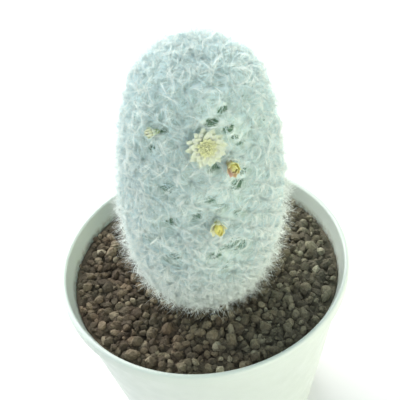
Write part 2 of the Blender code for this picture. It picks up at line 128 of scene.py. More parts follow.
def mapNode(tree, value, fromLow, fromHigh, toLow=0.0, toHigh=1.0):
    ranged = tree.nodes.new("ShaderNodeMapRange")
    for index, number in enumerate((fromLow, fromHigh, toLow, toHigh), 1):
        ranged.inputs[index].default_value = number
    tree.links.new(value, ranged.inputs[0])
    return ranged.outputs[0]


def splitNode(tree, vector):
    apart = tree.nodes.new("ShaderNodeSeparateXYZ")
    tree.links.new(vector, apart.inputs[0])
    return apart.outputs


def attributeNode(tree, name):
    attribute = tree.nodes.new("ShaderNodeAttribute")
    attribute.attribute_name = name
    return attribute.outputs["Fac"]


def makeDriftGroup():
    # soft change between two colours, at one scale with a finer one on it
    group, into, out = newGroup(
        "colourDrift",
        [("Vector", "Vector", (0, 0, 0)), ("Colour A", "Color", (1, 1, 1, 1)),
         ("Colour B", "Color", (0, 0, 0, 1)), ("Scale", "Float", 100), ("Sharpness", "Float", 0.5)],
        [("Colour", "Color"), ("Mask", "Float")],
    )
    patches = group.nodes.new("ShaderNodeTexNoise")
    patches.inputs["Detail"].default_value = 4
    patches.inputs["Roughness"].default_value = 0.6
    group.links.new(into.outputs["Vector"], patches.inputs["Vector"])
    group.links.new(into.outputs["Scale"], patches.inputs["Scale"])
    away = mathNode(group, "SUBTRACT", patches.outputs["Fac"], 0.5)
    gain = mathNode(group, "MULTIPLY_ADD", into.outputs["Sharpness"], 8, 1)
    steep = mathNode(group, "MULTIPLY_ADD", away, gain, 0.5)
    steep.node.use_clamp = True
    colour = mixNode(group, steep, into.outputs["Colour A"], into.outputs["Colour B"])
    group.links.new(colour, out.inputs["Colour"])
    group.links.new(steep, out.inputs["Mask"])
    return group


def makePitGroup():
    # fine bumps and pits, as a height for a Bump node
    group, into, out = newGroup(
        "finePits",
        [("Vector", "Vector", (0, 0, 0)), ("Scale", "Float", 800), ("Pits", "Float", 0.5)],
        [("Height", "Float")],
    )
    lumps = group.nodes.new("ShaderNodeTexNoise")
    lumps.inputs["Detail"].default_value = 5
    pores = group.nodes.new("ShaderNodeTexVoronoi")
    for node in (lumps, pores):
        group.links.new(into.outputs["Vector"], node.inputs["Vector"])
        group.links.new(into.outputs["Scale"], node.inputs["Scale"])
    deep = mathNode(group, "MULTIPLY", pores.outputs["Distance"], into.outputs["Pits"])
    group.links.new(mathNode(group, "ADD", lumps.outputs["Fac"], deep), out.inputs["Height"])
    return group


driftGroup = makeDriftGroup()
pitGroup = makePitGroup()


def newMaterial(name, roughness, **constants):
    # returns the material, its node tree, its shader and its Object coordinates
    material = bpy.data.materials.new(name)
    material.use_nodes = True
    tree = material.node_tree
    shader = tree.nodes["Principled BSDF"]
    shader.inputs["Roughness"].default_value = roughness
    for label, value in constants.items():
        shader.inputs[label.replace("_", " ")].default_value = value
    place = tree.nodes.new("ShaderNodeTexCoord").outputs["Object"]
    return material, tree, shader, place


def driftNode(tree, place, scale, sharpness):
    node = tree.nodes.new("ShaderNodeGroup")
    node.node_tree = driftGroup
    tree.links.new(place, node.inputs["Vector"])
    node.inputs["Scale"].default_value = scale
    node.inputs["Sharpness"].default_value = sharpness
    return node


def driftColour(tree, place, colourA, colourB, scale, sharpness=0.5):
    node = driftNode(tree, place, scale, sharpness)
    node.inputs["Colour A"].default_value = (*colourA, 1)
    node.inputs["Colour B"].default_value = (*colourB, 1)
    return node.outputs["Colour"]


def driftMask(tree, place, scale, sharpness):
    return driftNode(tree, place, scale, sharpness).outputs["Mask"]


def relief(tree, shader, height, distance):
    node = tree.nodes.new("ShaderNodeBump")
    node.inputs["Distance"].default_value = distance
    tree.links.new(height, node.inputs["Height"])
    tree.links.new(node.outputs["Normal"], shader.inputs["Normal"])


def pittedRelief(tree, shader, place, scale, pits, distance):
    node = tree.nodes.new("ShaderNodeGroup")
    node.node_tree = pitGroup
    tree.links.new(place, node.inputs["Vector"])
    node.inputs["Scale"].default_value = scale
    node.inputs["Pits"].default_value = pits
    relief(tree, shader, node.outputs["Height"], distance)


# Pot


pot = {
    "height": 0.085, "rimRadius": 0.055, "lipWall": 0.002, "collarHeight": 0.0045, "collarStand": 0.0009,
    "wall": 0.0017, "footRadius": 0.039, "footRound": 0.0012, "draftAtCollar": 0.0009, "collarSlope": 0.0003,
    "floor": 0.0022, "floorFillet": 0.0015, "sides": 192, "lipSteps": 12, "wallSteps": 10,
    "drains": 5, "drainRadius": 0.004, "drainRing": 0.024, "soilLevel": 0.077,
    "white": (0.545, 0.58, 0.535), "shadeWhite": (0.51, 0.545, 0.50), "dust": (0.36, 0.33, 0.27),
    # where dust starts and where it is full: over the soil, into the wall, and as shares of the soil's level
    "dustOverSoil": (0.0034, -0.0008), "dustFromWall": (0.0009, 0.0005), "dustLowest": (0.5, 0.6),
}


def wallInside(level):
    # the pot's inner radius at a level
    top = pot["rimRadius"] - pot["collarStand"] - pot["wall"]
    bottom = pot["footRadius"] - pot["wall"]
    return bottom + (top - bottom) * (level - pot["floor"]) / (pot["height"] - pot["floor"])


def arc(centre, radius, start, end, steps):
    turns = (math.radians(start + (end - start) * step / steps) for step in range(steps + 1))
    return [(centre[0] + radius * math.cos(turn), centre[1] + radius * math.sin(turn)) for turn in turns]


def straight(start, end, steps):
    # points between two ends, without the ends
    return [
        (start[0] + (end[0] - start[0]) * step / steps, start[1] + (end[1] - start[1]) * step / steps)
        for step in range(1, steps)
    ]


def lathe(profile, sides):
    bm = bmesh.new()
    verts = [bm.verts.new((radius, 0, level)) for radius, level in profile]
    edges = [bm.edges.new(pair) for pair in zip(verts, verts[1:])]
    bmesh.ops.spin(
        bm, geom=verts + edges, cent=(0, 0, 0), axis=(0, 0, 1), angle=math.tau, steps=sides, use_merge=True,
    )
    bmesh.ops.remove_doubles(bm, verts=bm.verts, dist=1e-7)
    bmesh.ops.recalc_face_normals(bm, faces=bm.faces)
    return bm


def plasticMaterial():
    # with dust and splashes of soil on the wall just over the gravel, and none on the outside
    material, tree, shader, place = newMaterial(
        "whitePlastic", 0.38, Subsurface_Weight=0.35, Subsurface_Scale=1.0,
    )
    shader.inputs["Subsurface Radius"].default_value = (0.003, 0.0032, 0.0027)
    colour = driftColour(tree, place, pot["white"], pot["shadeWhite"], 45, 0.1)
    apart = splitNode(tree, place)
    level, slope, inner = pot["soilLevel"], wallInside(1) - wallInside(0), wallInside(0)
    high = mapNode(tree, apart["Z"], *(level + over for over in pot["dustOverSoil"]))
    flat = tree.nodes.new("ShaderNodeCombineXYZ")
    tree.links.new(apart["X"], flat.inputs[0])
    tree.links.new(apart["Y"], flat.inputs[1])
    radius = tree.nodes.new("ShaderNodeVectorMath")
    radius.operation = "LENGTH"
    tree.links.new(flat.outputs[0], radius.inputs[0])
    upright = mathNode(tree, "MULTIPLY_ADD", apart["Z"], -slope, radius.outputs["Value"])
    inside = mapNode(tree, upright, *(inner + depth for depth in pot["dustFromWall"]))
    over = mapNode(tree, apart["Z"], *(share * level for share in pot["dustLowest"]))
    spots = driftMask(tree, place, 520, 1.4)
    low, near = mathNode(tree, "MULTIPLY", high, over), mathNode(tree, "MULTIPLY", inside, spots)
    dusty = mathNode(tree, "MULTIPLY", low, near)
    tree.links.new(mixNode(tree, dusty, colour, (*pot["dust"], 1)), shader.inputs["Base Color"])
    worn = driftMask(tree, place, 160, 0.3)
    tree.links.new(mapNode(tree, worn, 0, 1, 0.30, 0.48), shader.inputs["Roughness"])
    pittedRelief(tree, shader, place, 900, 0.2, 0.00003)
    return material


def makePot():
    rim, lip = pot["rimRadius"], pot["lipWall"] / 2
    underCollar = pot["height"] - pot["collarHeight"]
    footRound, fillet, floor, slope = pot["footRound"], pot["floorFillet"], pot["floor"], pot["collarSlope"]
    footEdge = (pot["footRadius"], footRound)
    underSide = (rim - pot["collarStand"] - pot["draftAtCollar"], underCollar)
    profile = [(0, 0)] + arc((pot["footRadius"] - footRound, footRound), footRound, -90, 0, 5)
    profile += straight(footEdge, underSide, pot["wallSteps"]) + [underSide]
    profile += arc((rim - 2 * slope, underCollar + slope), 2 * slope, -90, 0, 4)
    profile += arc((rim - lip, pot["height"] - lip), lip, 0, 180, pot["lipSteps"])
    insideTop = (wallInside(underCollar), underCollar)
    insideFoot = (wallInside(floor + fillet), floor + fillet)
    profile += [insideTop] + straight(insideTop, insideFoot, pot["wallSteps"]) + [insideFoot]
    profile += arc((wallInside(floor) - fillet, floor + fillet), fillet, 0, -90, 4)[1:] + [(0, floor)]
    shell = bpy.data.objects.new("potShell", meshFrom("pot_shell", lathe(profile, pot["sides"])))
    bpy.context.scene.collection.objects.link(shell)
    bm = bmesh.new()
    for index in range(pot["drains"]):
        turn = math.tau * (index + 0.5) / pot["drains"]
        place = Matrix.Translation((pot["drainRing"] * math.cos(turn), pot["drainRing"] * math.sin(turn), 0))
        bmesh.ops.create_cone(
            bm, cap_ends=True, segments=32, radius1=pot["drainRadius"], radius2=pot["drainRadius"],
            depth=4 * floor, matrix=place,
        )
    drills = bpy.data.objects.new("drills", meshFrom("drills", bm))
    bpy.context.scene.collection.objects.link(drills)
    cut = shell.modifiers.new("drain holes", "BOOLEAN")
    cut.operation, cut.solver, cut.object = "DIFFERENCE", "EXACT", drills
    bpy.context.view_layer.update()
    mesh = bpy.data.meshes.new_from_object(shell.evaluated_get(bpy.context.evaluated_depsgraph_get()))
    mesh.name = "pot_shell_drilled"
    mesh.shade_smooth()
    mesh.set_sharp_from_angle(angle=math.radians(50))
    for helper in (shell, drills):
        bpy.data.objects.remove(helper, do_unlink=True)
    addPiece(mesh, plasticMaterial(), "pot_plastic", "pot")


# Plant: outline and places on it, in the plant's own frame with Z along its axis


plant = {
    "foot": (-0.0011, -0.0036, 0.077), "leanRight": 4.5, "leanFront": 1.5, "height": 0.103,
    "coatRadius": 0.0301, "coatFootRadius": 0.0130, "widest": 0.45, "crownPower": 1.47, "crownFullness": 4.6,
    "coatStand": 0.0033, "neckRadius": 0.0130, "neckDepth": 0.005, "steps": 160, "profileStep": 3,
    "areoles": 700, "skinStand": -0.0021, "tubercleRise": 0.0018, "tubercleReach": 0.0034, "sides": 150,
    "tuberclesFrom": 0.001, "tuberclesFullOver": 0.004,
    "green": (0.09, 0.18, 0.105), "deepGreen": (0.05, 0.11, 0.065), "felt": (0.86, 0.91, 0.88),
    "valley": (0.42, 0.53, 0.46),
    # where the wool is thin and the green shows: height up the plant, angle round it, half its width
    "thinSpots": [
        (0.0902, -83, 0.0017), (0.0926, -71, 0.0014), (0.0872, -68, 0.0015), (0.0849, -42, 0.0012),
        (0.0814, -59, 0.0012), (0.0797, -94, 0.0012), (0.0760, -84, 0.0017), (0.0718, -59, 0.0014),
        (0.0678, -67, 0.0022), (0.0645, -88, 0.0016), (0.0865, -126, 0.0014), (0.0795, -138, 0.0013),
        (0.0675, -122, 0.0020), (0.0440, -73, 0.0026), (0.0410, -64, 0.0022), (0.0400, -86, 0.0021),
        (0.0385, -117, 0.0022), (0.0545, -118, 0.0019), (0.0842, -63, 0.0009), (0.0610, -80, 0.0016),
        (0.0585, -98, 0.0015), (0.0570, -66, 0.0016), (0.0330, -78, 0.0016), (0.0450, -132, 0.0016),
    ],
    "thinHigh": 0.45, "thinTilt": 20, "thinRise": 1.0,
    # how many more there are, and their ranges
    "thinMore": 30, "thinMoreRanges": ((0.030, 0.090), (-20, 200), (0.0008, 0.0016)),
    # the share of strands kept: a slope and a start in spot sizes, and the fewest
    "thinSlope": 0.7, "thinStart": 0.42, "thinFewest": 0.11,
}


def plantPlace():
    right, front = (math.sin(math.radians(plant[lean])) for lean in ("leanRight", "leanFront"))
    axis = Vector((right, -front, 1)).normalized()
    side = Vector((0, 1, 0)).cross(axis).normalized()
    turn = Matrix((side, axis.cross(side), axis)).transposed()
    return Matrix.Translation(plant["foot"]) @ turn.to_4x4()


def skinOutline():
    # radius, height and outward normal from the crown to the foot, through the tubercles' tips
    steps, wide = plant["steps"], plant["widest"] * plant["height"]
    turn = np.linspace(math.pi / 2, 0, steps + 1)
    radius = plant["coatRadius"] * np.clip(np.cos(turn), 0, 1) ** (2 / plant["crownFullness"])
    level = wide + (plant["height"] - wide) * np.sin(turn) ** (2 / plant["crownPower"])
    turn = np.linspace(0, math.pi / 2, steps + 1)[1:]
    flare = plant["coatRadius"] - plant["coatFootRadius"]
    radius = np.append(radius, plant["coatFootRadius"] + flare * np.cos(turn))
    level = np.append(level, wide * (1 - np.sin(turn)))
    alongRadius, alongLevel = np.gradient(radius), np.gradient(level)
    long = np.hypot(alongRadius, alongLevel)
    out, up = -alongLevel / long, alongRadius / long
    stand = plant["coatStand"]
    return np.maximum(radius - stand * out, 1e-4), level - stand * up, out, up


skinRadius, skinLevel, skinOut, skinUp = skinOutline()
skinRun = np.append(0, np.cumsum(np.hypot(np.diff(skinRadius), np.diff(skinLevel))))  # from the crown down
plantMatrix = plantPlace()
plantTurn = np.array(plantMatrix)[:3, :3]
plantFoot = np.array(plantMatrix)[:3, 3]


def areolePlaces(count):
    # one golden-angle spiral with an equal share of the skin for each areole
    length = np.hypot(np.diff(skinRadius), np.diff(skinLevel))
    area = np.append(0, np.cumsum(length * (skinRadius[1:] + skinRadius[:-1]) / 2))
    row = np.interp(area[-1] * (np.arange(count) + 0.5) / count, area, np.arange(len(area)))
    around = np.arange(count) * goldenAngle
    radius, level, out, up = (
        np.interp(row, np.arange(len(area)), values) for values in (skinRadius, skinLevel, skinOut, skinUp)
    )
    cos, sin = np.cos(around), np.sin(around)
    return np.stack([radius * cos, radius * sin, level], 1), np.stack([out * cos, out * sin, up], 1)


def skinAt(points):
    # the skin's normal under each point, and each point's height over it
    around = np.hypot(points[:, 0], points[:, 1])
    nearest = np.empty(len(points), int)
    for start in range(0, len(points), 20000):
        part = slice(start, start + 20000)
        apart = (around[part, None] - skinRadius) ** 2 + (points[part, 2:3] - skinLevel) ** 2
        nearest[part] = apart.argmin(1)
    cos, sin = (points[:, axis] / np.maximum(around, 1e-9) for axis in (0, 1))
    normal = np.stack([skinOut[nearest] * cos, skinOut[nearest] * sin, skinUp[nearest]], 1)
    beyond, above = around - skinRadius[nearest], points[:, 2] - skinLevel[nearest]
    return normal, beyond * skinOut[nearest] + above * skinUp[nearest]


def toWorld(points):
    return points @ plantTurn.T + plantFoot


def nearestDistance(points, places):
    found = np.empty(len(points))
    for start in range(0, len(points), 4000):
        part = slice(start, start + 4000)
        found[part] = np.sqrt(((points[part, None] - places[None]) ** 2).sum(2).min(1))
    return found


def thinPlaces():
    # the listed thin spots, and seeded ones round the sides and the back
    rng = np.random.default_rng(12)
    ranges = plant["thinMoreRanges"]
    return plant["thinSpots"] + [[rng.uniform(*ends) for ends in ranges] for _ in range(plant["thinMore"])]


def thinness(points):
    # each point's distance from the nearest thin spot's middle, as a share of that spot's own size
    nearest = np.full(len(points), np.inf)
    around = np.arctan2(points[:, 1], points[:, 0])
    cos, sin = math.cos(math.radians(plant["thinTilt"])), math.sin(math.radians(plant["thinTilt"]))
    runs = np.interp(points[:, 2], skinLevel[::-1], skinRun[::-1])
    for height, angle, wide in thinPlaces():
        turn = (around - math.radians(angle) + math.pi) % math.tau - math.pi
        across = turn * np.interp(height, skinLevel[::-1], skinRadius[::-1])
        up = np.interp(height, skinLevel[::-1], skinRun[::-1]) - runs
        away = np.hypot(across * cos + up * sin, (up * cos - across * sin) / plant["thinHigh"])
        nearest = np.minimum(nearest, away / wide)
    return nearest


def skinMaterial():
    # white felt round each areole, less in the valleys, and bare green at the thin spots
    material, tree, shader, place = newMaterial("greenSkin", 0.6)
    green = driftColour(tree, place, plant["green"], plant["deepGreen"], 700, 0.4)
    deep = mapNode(tree, attributeNode(tree, "fromAreole"), 0.5, 1.0)
    felt = mixNode(tree, deep, (*plant["felt"], 1), (*plant["valley"], 1))
    torn = mapNode(tree, driftMask(tree, place, 1100, 0.8), 0, 1, 1.6, 0.9)
    shown = mathNode(tree, "MULTIPLY", attributeNode(tree, "bare"), torn)
    tree.links.new(mixNode(tree, mapNode(tree, shown, 0.2, 0.8), felt, green), shader.inputs["Base Color"])
    pittedRelief(tree, shader, place, 1500, 0.4, 0.00008)
    return material


def makeStem():
    # the green body: low domes, one under each areole, and a neck that goes into the gravel
    neck, stand, reach = plant["neckRadius"], plant["skinStand"], plant["tubercleReach"]
    rows = range(plant["profileStep"], len(skinRadius), plant["profileStep"])
    profile = [(0, skinLevel[0] + stand)]
    profile += [
        (skinRadius[row] + stand * skinOut[row], skinLevel[row] + stand * skinUp[row]) for row in rows
    ]
    profile += [(neck, 0), (neck, -plant["neckDepth"]), (0, -plant["neckDepth"])]
    mesh = meshFrom("green_stem", lathe(profile, plant["sides"]))
    points = positionsOf(mesh)
    seats, _ = areolePlaces(plant["areoles"])
    normal, _ = skinAt(points)
    away = np.clip(nearestDistance(points, seats) / reach, 0, 1)
    share = np.clip((points[:, 2] - plant["tuberclesFrom"]) / plant["tuberclesFullOver"], 0, 1)
    points += normal * (plant["tubercleRise"] * share * np.cos(away * math.pi / 2))[:, None]
    bare = np.clip(2.0 - thinness(points), 0, 1)
    mesh.vertices.foreach_set("co", toWorld(points).astype(np.float32).ravel())
    for name, values in (("fromAreole", away), ("bare", bare)):
        mesh.attributes.new(name, "FLOAT", "POINT").data.foreach_set("value", values.astype(np.float32))
    addPiece(mesh, skinMaterial(), "woolly_stem", "cactus")


# Flowers


flowers = {
    "footRing": 0.0017, "cupLevel": 0.0026, "tubeRadius": 0.0010, "petalWall": 0.00016,
    "open": {"clear": 0.0054, "clearFrom": 0.0016, "cupRadius": 0.0019},
    "half": {"clear": 0.0024, "clearFrom": 0.0020, "cupRadius": 0.0014},
    "yellow": {"clear": 0.0019, "clearFrom": 0.0018},
    "pale": {"clear": 0.0013, "clearFrom": 0.0014},
    "cream": {"root": (0.565, 0.57, 0.35), "middle": (0.575, 0.60, 0.44), "tip": (0.575, 0.615, 0.53),
              "rib": (0.54, 0.56, 0.41), "blush": (0.60, 0.605, 0.33), "ribShare": 0.3},
    "orange": {"root": (0.59, 0.46, 0.21), "middle": (0.77, 0.74, 0.27), "tip": (0.785, 0.79, 0.36),
               "rib": (0.70, 0.59, 0.21), "blush": (0.60, 0.41, 0.35), "ribShare": 0.35},
    "brightYellow": {"root": (0.63, 0.59, 0.25), "middle": (0.78, 0.70, 0.21), "tip": (0.81, 0.71, 0.20),
                     "rib": (0.72, 0.61, 0.17), "blush": (0.76, 0.78, 0.62), "ribShare": 0.35},
    "paleYellow": {"root": (0.45, 0.54, 0.27), "middle": (0.66, 0.70, 0.48), "tip": (0.72, 0.72, 0.53),
                   "rib": (0.61, 0.61, 0.40), "blush": (0.68, 0.745, 0.60), "ribShare": 0.35},
    # what a layer of petals has unless it says otherwise
    "layer": {"shift": 0, "wobble": 5, "cupping": 0.35, "pointed": 1.0, "blush": 0, "blushTurn": None},
    "turnSpread": 0.10, "lengthSpread": 0.08,
}


def flowerSeat(node, inner):
    # a flower's frame: its origin at the foot of its tube, Z out through the middle of inner's points
    def corners(name):
        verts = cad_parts[name].data.vertices
        return [Vector(spot) for spot in {tuple(round(number, 7) for number in vert.co) for vert in verts}]

    points, heart = corners(node), corners(inner)
    middle = sum(points, Vector()) / len(points)
    local = plantMatrix.inverted() @ middle
    normal, _ = skinAt(np.array([local]))
    outward = plantMatrix.to_3x3() @ Vector(normal[0])
    lowest = min(point.dot(outward) for point in points)
    ring = [point for point in points if point.dot(outward) < lowest + flowers["footRing"]]
    base = sum(ring, Vector()) / len(ring)
    outward = (sum(heart, Vector()) / len(heart) - base).normalized()
    side = Vector((0, 0, 1)).cross(outward).normalized()
    turn = Matrix((side, outward.cross(side), outward)).transposed()
    return Matrix.Translation(base) @ turn.to_4x4()


seatOf = {
    "open": flowerSeat("open_flower", "open_flower_centre"),
    "half": flowerSeat("half_open_flower", "half_open_flower"),
    "yellow": flowerSeat("yellow_bud", "yellow_bud"),
    "pale": flowerSeat("pale_bud", "pale_bud"),
}


def addPetal(bm, rng, layer, length, wobble, turn):
    # a grid of 4 by 8 faces bent to a petal, at the angle rise at its root and tipRise at its tip
    made = bmesh.ops.create_grid(bm, x_segments=4, y_segments=8, size=0.5, calc_uvs=True)["verts"]
    start, end = (math.radians(layer[slope] + wobble) for slope in ("rise", "tipRise"))
    if abs(end - start) < 0.01:
        end = start + 0.01
    wave, skew = rng.uniform(0, math.tau), rng.uniform(-0.06, 0.06)
    spin = Matrix.Rotation(turn, 3, "Z")
    width, pointed, blush = layer["width"], layer["pointed"], layer["blush"]
    if layer["blushTurn"] is not None:
        blush *= (0.5 + 0.5 * math.cos(turn - math.radians(layer["blushTurn"]))) ** 1.5
    tint = bm.verts.layers.float["blush"]
    for vert in made:
        vert[tint] = blush
        across, along = 2 * vert.co.x, vert.co.y + 0.5
        angle = start + (end - start) * along
        out = length * (math.sin(angle) - math.sin(start)) / (end - start)
        up = length * (math.cos(start) - math.cos(angle)) / (end - start)
        half = 0.5 * width * (0.55 + 0.45 * math.sin(math.pi * min(along / 1.2, 1)))
        half *= 1 - (1 - 0.10 / pointed) * along ** (3.2 / pointed)
        fold = layer["cupping"] * half * across * across + 0.05 * width * math.sin(7 * along + wave) * across
        x = layer["root"] + out - fold * math.sin(angle)
        z = layer["level"] + up + fold * math.cos(angle)
        vert.co = spin @ Vector((x, half * across + skew * length * along * along, z))


def petalMaterial(name, look):
    # colours along the petal from its UV map, with a rib and fine veins, and a second tone on some petals
    material, tree, shader, _ = newMaterial(name, 0.68, Subsurface_Weight=0.5, Subsurface_Scale=1.0)
    shader.inputs["Subsurface Radius"].default_value = (0.0005, 0.0005, 0.0003)
    root, middle, tip, rib, blush = ((*look[part], 1) for part in ("root", "middle", "tip", "rib", "blush"))
    uv = tree.nodes.new("ShaderNodeUVMap")
    apart = splitNode(tree, uv.outputs[0])
    lower = mixNode(tree, mapNode(tree, apart["Y"], 0.05, 0.45), root, middle)
    whole = mixNode(tree, mapNode(tree, apart["Y"], 0.55, 1.0), lower, tip)
    veins = tree.nodes.new("ShaderNodeTexWave")
    veins.wave_type, veins.bands_direction = "BANDS", "X"
    veins.inputs["Scale"].default_value = 2.4
    veins.inputs["Distortion"].default_value = 0.8
    tree.links.new(uv.outputs[0], veins.inputs["Vector"])
    veined = mixNode(tree, mapNode(tree, veins.outputs["Fac"], 0.4, 1.0, 0, 0.14), whole, rib)
    ridge = mathNode(tree, "PINGPONG", apart["X"], 0.5)
    ribbed = mixNode(tree, mapNode(tree, ridge, 0.36, 0.5, 0, look["ribShare"]), veined, rib)
    tree.links.new(mixNode(tree, attributeNode(tree, "blush"), ribbed, blush), shader.inputs["Base Color"])
    relief(tree, shader, veins.outputs["Fac"], 0.00003)
    return material


def petalMesh(name, seat, rng, layers, tube):
    # layers are dictionaries; the tube is a turned (radius, level) profile
    bm = bmesh.new()
    bm.loops.layers.uv.new("petalMap")
    bm.verts.layers.float.new("blush")
    for layer in ({**flowers["layer"], **given} for given in layers):
        for index in range(layer["count"]):
            share = index + layer["shift"] + flowers["turnSpread"] * rng.uniform(-1, 1)
            wobble = layer["wobble"] * rng.uniform(-1, 1)
            length = layer["length"] * (1 + flowers["lengthSpread"] * rng.uniform(-1, 1))
            addPetal(bm, rng, layer, length, wobble, math.tau * share / layer["count"])
    bmesh.ops.solidify(bm, geom=bm.faces, thickness=flowers["petalWall"])
    bmesh.ops.recalc_face_normals(bm, faces=bm.faces)
    stalk = meshFrom("stalk", lathe(tube, 20))
    bm.from_mesh(stalk)
    bpy.data.meshes.remove(stalk)
    bmesh.ops.transform(bm, matrix=seat, verts=bm.verts)
    return meshFrom(name, bm)


def tubeProfile(cupRadius, wall=0.0004):
    level, tube = flowers["cupLevel"], flowers["tubeRadius"]
    return [
        (0, 0), (tube, 0), (1.1 * tube, 0.5 * level), (cupRadius, level), (cupRadius, level + wall),
        (0.8 * cupRadius, level + wall), (0.4 * cupRadius, level), (0, level),
    ]


def makeOpenFlower():
    level, cup = flowers["cupLevel"], flowers["open"]["cupRadius"]
    layers = [
        {"count": 12, "length": 0.0050, "width": 0.0034, "root": cup - 0.0006, "level": level + 0.0001,
         "rise": 11, "tipRise": -2, "cupping": 0.15, "pointed": 1.2},
        {"count": 12, "shift": 0.5, "length": 0.0043, "width": 0.0036, "root": cup - 0.0008,
         "level": level + 0.0003, "rise": 18, "tipRise": 5, "cupping": 0.16, "pointed": 1.2},
        {"count": 12, "shift": 0.2, "length": 0.0021, "width": 0.0019, "root": cup - 0.0006,
         "level": level + 0.0005, "rise": 36, "tipRise": 14, "cupping": 0.2, "pointed": 1.2, "blush": 0.8},
    ]
    rng = np.random.default_rng(3)
    mesh = petalMesh("open_flower_petals", seatOf["open"], rng, layers, tubeProfile(cup))
    addPiece(mesh, petalMaterial("creamPetal", flowers["cream"]), "cream_petals", "open_flower")


stamens = {
    "count": 60, "ringFrom": 0.0003, "ringWide": 0.0012, "lean": 6, "leanMore": 16, "length": 0.0012,
    "lengthMore": 0.0006, "thick": 0.00006, "head": 0.00019, "bend": -0.12, "bendMore": 0.1,
    "pollen": (0.91, 0.90, 0.60), "deepPollen": (0.84, 0.84, 0.50),
    "styleHeight": 0.0018, "styleThick": 0.00016,
    "lobes": 5, "lobeLevel": 0.0016, "lobeLean": 50, "lobeLength": 0.0007, "lobeThick": 0.00011,
    "lobeHead": 0.00014, "lobeBend": 0.3,
}


def stamenMaterial():
    material, tree, shader, place = newMaterial("stamenYellow", 0.6)
    colour = driftColour(tree, place, stamens["pollen"], stamens["deepPollen"], 1600, 0.6)
    tree.links.new(colour, shader.inputs["Base Color"])
    pittedRelief(tree, shader, place, 5000, 0.3, 0.00003)
    return material


def addFilament(bm, foot, lean, length, radius, head, turn, bend):
    # a bent 5-sided thread with a pollen head, in the flower's frame
    made = bmesh.ops.create_cone(
        bm, cap_ends=True, segments=5, radius1=radius, radius2=0.8 * radius, depth=length,
        matrix=Matrix.Translation((0, 0, length / 2)),
    )["verts"]
    made += bmesh.ops.create_icosphere(
        bm, subdivisions=1, radius=1,
        matrix=Matrix.Translation((0, 0, length)) @ Matrix.Diagonal((head, 0.7 * head, 1.5 * head, 1)),
    )["verts"]
    for vert in made:
        vert.co.x += bend * (vert.co.z / length) ** 2 * length
    place = Matrix.Rotation(turn, 4, "Z") @ Matrix.Translation(foot) @ Matrix.Rotation(lean, 4, "Y")
    bmesh.ops.transform(bm, matrix=place, verts=made)


def makeStamens():
    level, rng = flowers["cupLevel"] + 0.0001, np.random.default_rng(4)
    bm = bmesh.new()
    for index in range(stamens["count"]):
        ring = stamens["ringFrom"] + stamens["ringWide"] * math.sqrt((index + 0.5) / stamens["count"])
        lean = math.radians(stamens["lean"] + stamens["leanMore"] * rng.random())
        length = stamens["length"] + stamens["lengthMore"] * rng.random()
        bend = stamens["bend"] + stamens["bendMore"] * rng.random()
        addFilament(
            bm, (ring, 0, level), lean, length, stamens["thick"], stamens["head"], index * goldenAngle, bend,
        )
    foot, lean = (0, 0, level + stamens["lobeLevel"]), math.radians(stamens["lobeLean"])
    sizes = [stamens[size] for size in ("lobeLength", "lobeThick", "lobeHead")]
    for index in range(stamens["lobes"]):  # the stigma's lobes round the top of the style
        addFilament(bm, foot, lean, *sizes, index * math.tau / stamens["lobes"], stamens["lobeBend"])
    thick, height = stamens["styleThick"], stamens["styleHeight"]
    bmesh.ops.create_cone(
        bm, cap_ends=True, segments=10, radius1=thick, radius2=thick, depth=height,
        matrix=Matrix.Translation((0, 0, level + height / 2)),
    )
    bmesh.ops.transform(bm, matrix=seatOf["open"], verts=bm.verts)
    addPiece(meshFrom("open_flower_stamens", bm), stamenMaterial(), "yellow_stamens", "open_flower_centre")


def makeHalfOpenFlower():
    # yellow on its upper right and rosy on its lower left, at the angle blushTurn
    level, cup = flowers["cupLevel"], flowers["half"]["cupRadius"]
    layers = [
        {"count": 8, "length": 0.0031, "width": 0.0024, "root": cup - 0.0002, "level": level + 0.0001,
         "rise": 54, "tipRise": 88, "wobble": 9, "blush": 1.0, "blushTurn": 225},
        {"count": 7, "shift": 0.5, "length": 0.0031, "width": 0.0022, "root": cup - 0.0004,
         "level": level + 0.0002, "rise": 66, "tipRise": 108, "wobble": 9, "blush": 0.8, "blushTurn": 225},
        {"count": 5, "shift": 0.2, "length": 0.0027, "width": 0.0020, "root": cup - 0.0008,
         "level": level + 0.0003, "rise": 82, "tipRise": 152, "blush": 0.15, "blushTurn": 225},
    ]
    rng = np.random.default_rng(5)
    mesh = petalMesh("half_open_flower_petals", seatOf["half"], rng, layers, tubeProfile(cup))
    addPiece(mesh, petalMaterial("orangePetal", flowers["orange"]), "orange_petals", "half_open_flower")


def makeBud(kind, node, slot, scale, spread, look):
    # spread is how far its outer petals stand open, in degrees
    level, root = 0.7 * flowers["cupLevel"], 0.0010 * scale
    layers = [
        {"count": 8, "length": 0.0034 * scale, "width": 0.0021 * scale, "root": root, "level": level,
         "rise": 62 - spread, "tipRise": 112 - 1.6 * spread, "cupping": 0.4, "pointed": 0.9, "blush": 0.85},
        {"count": 5, "shift": 0.5, "length": 0.0045 * scale, "width": 0.0023 * scale, "root": root,
         "level": level + 0.0002, "rise": 66, "tipRise": 118, "cupping": 0.5, "pointed": 0.8},
        {"count": 3, "shift": 0.2, "length": 0.0046 * scale, "width": 0.0018 * scale, "root": 0.0006 * scale,
         "level": level + 0.0003, "rise": 76, "tipRise": 112, "cupping": 0.5, "pointed": 0.8},
    ]
    tube = flowers["tubeRadius"] * scale
    profile = [(0, 0), (0.9 * tube, 0), (tube, 0.7 * level), (1.2 * tube, level), (0, level + 0.0004)]
    mesh = petalMesh(node + "_petals", seatOf[kind], np.random.default_rng(6), layers, profile)
    addPiece(mesh, petalMaterial(slot + "Look", look), slot, node)


